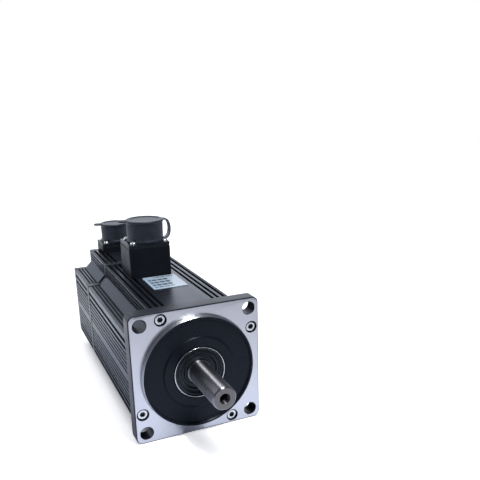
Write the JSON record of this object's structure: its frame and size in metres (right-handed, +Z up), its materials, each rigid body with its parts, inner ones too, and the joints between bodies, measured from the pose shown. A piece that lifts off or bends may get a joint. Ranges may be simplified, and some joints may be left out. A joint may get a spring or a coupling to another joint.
{
  "type": "servo motor",
  "caption": "Brushless AC servo motor with a square mounting flange, a plain keyless shaft, a finned black body and two capped connectors on top.",
  "frame": {"origin": "on the ground under the middle of the motor's length, below the shaft axis; the shaft axis is 55 mm up", "axes": "+Z up, -Y is the way the shaft points, +X is to the right seen from the shaft end"},
  "size_m": [0.11, 0.298, 0.1605],
  "materials": {
    "anodised_body": "black anodised extrusion, satin with light fin edges",
    "painted_casting": "satin black paint on die cast aluminium; the flange's mounting face and spigot are machined bare",
    "shaft_steel": "ground and polished steel",
    "bearing_steel": "polished bearing steel",
    "plated_steel": "zinc plated steel",
    "rubber": "moulded black rubber, matt",
    "lamination": "stamped electrical steel, varnished",
    "copper": "enamelled copper wire, varnished",
    "magnet": "nickel plated",
    "board": "green solder mask",
    "code_glass": "clear glass with a chrome track",
    "insulator": "black moulded resin",
    "machined_aluminium": "bare machined aluminium",
    "label": "printed foil, satin"
  },
  "bodies": {
    "motor": {"encoder_board": "board", "encoder_cap_strap": "rubber", "encoder_gasket": "rubber", "encoder_housing": "anodised_body", "encoder_mount": "painted_casting", "encoder_pin_insert": "insulator", "encoder_reader": "insulator", "encoder_receptacle": "plated_steel", "encoder_screw_1": "plated_steel", "encoder_screw_2": "plated_steel", "encoder_screw_3": "plated_steel", "encoder_screw_4": "plated_steel", "encoder_terminal_box": "painted_casting", "flange_screw_1": "plated_steel", "flange_screw_2": "plated_steel", "flange_screw_3": "plated_steel", "flange_screw_4": "plated_steel", "front_bearing_outer_ring": "bearing_steel", "front_flange": "painted_casting", "nameplate": "label", "oil_seal": "rubber", "oil_seal_case": "plated_steel", "power_cap_strap": "rubber", "power_gasket": "rubber", "power_pin_insert": "insulator", "power_receptacle": "plated_steel", "power_screw_1": "plated_steel", "power_screw_2": "plated_steel", "power_screw_3": "plated_steel", "power_screw_4": "plated_steel", "power_terminal_box": "painted_casting", "rear_bearing_outer_ring": "bearing_steel", "rear_cover": "painted_casting", "rear_end_shield": "painted_casting", "stator_core": "lamination", "stator_housing": "anodised_body", "stator_winding": "copper", "tie_bolt_1": "plated_steel", "tie_bolt_2": "plated_steel", "tie_bolt_3": "plated_steel", "tie_bolt_4": "plated_steel", "wave_washer": "bearing_steel"},
    "rotor": {"rotor_shaft": "shaft_steel", "rotor_core": "lamination", "rotor_magnet_1": "magnet", "rotor_magnet_2": "magnet", "rotor_magnet_3": "magnet", "rotor_magnet_4": "magnet", "rotor_magnet_5": "magnet", "rotor_magnet_6": "magnet", "rotor_magnet_7": "magnet", "rotor_magnet_8": "magnet", "front_bearing_inner_ring": "bearing_steel", "rear_bearing_inner_ring": "bearing_steel", "encoder_hub": "machined_aluminium", "encoder_disc": "code_glass"},
    "front_cage": {"front_ball_cage": "bearing_steel"},
    "rear_cage": {"rear_ball_cage": "bearing_steel"},
    "power_cap": {"power_dust_cap": "rubber"},
    "encoder_cap": {"encoder_dust_cap": "rubber"}
  },
  "joints": [
    {"name": "rotor_spin", "type": "hinge", "parent": "motor", "child": "rotor", "pos_m": [0, 0, 0.055], "axis": [0, -1, 0], "continuous": true},
    {"name": "front_cage_orbit", "type": "hinge", "parent": "motor", "child": "front_cage", "pos_m": [0, 0, 0.055], "axis": [0, -1, 0], "continuous": true},
    {"name": "rear_cage_orbit", "type": "hinge", "parent": "motor", "child": "rear_cage", "pos_m": [0, 0, 0.055], "axis": [0, -1, 0], "continuous": true},
    {"name": "power_cap_lift", "type": "slide", "parent": "motor", "child": "power_cap", "axis": [0, 0, 1], "range_m": [0, 0.018], "deforming": ["power_cap_strap"]},
    {"name": "encoder_cap_lift", "type": "slide", "parent": "motor", "child": "encoder_cap", "axis": [0, 0, 1], "range_m": [0, 0.018], "deforming": ["encoder_cap_strap"]}
  ],
  "couplings": [
    {"joint": "front_cage_orbit", "follows": "rotor_spin", "ratio": 0.3846},
    {"joint": "rear_cage_orbit", "follows": "rotor_spin", "ratio": 0.3854}
  ]
}
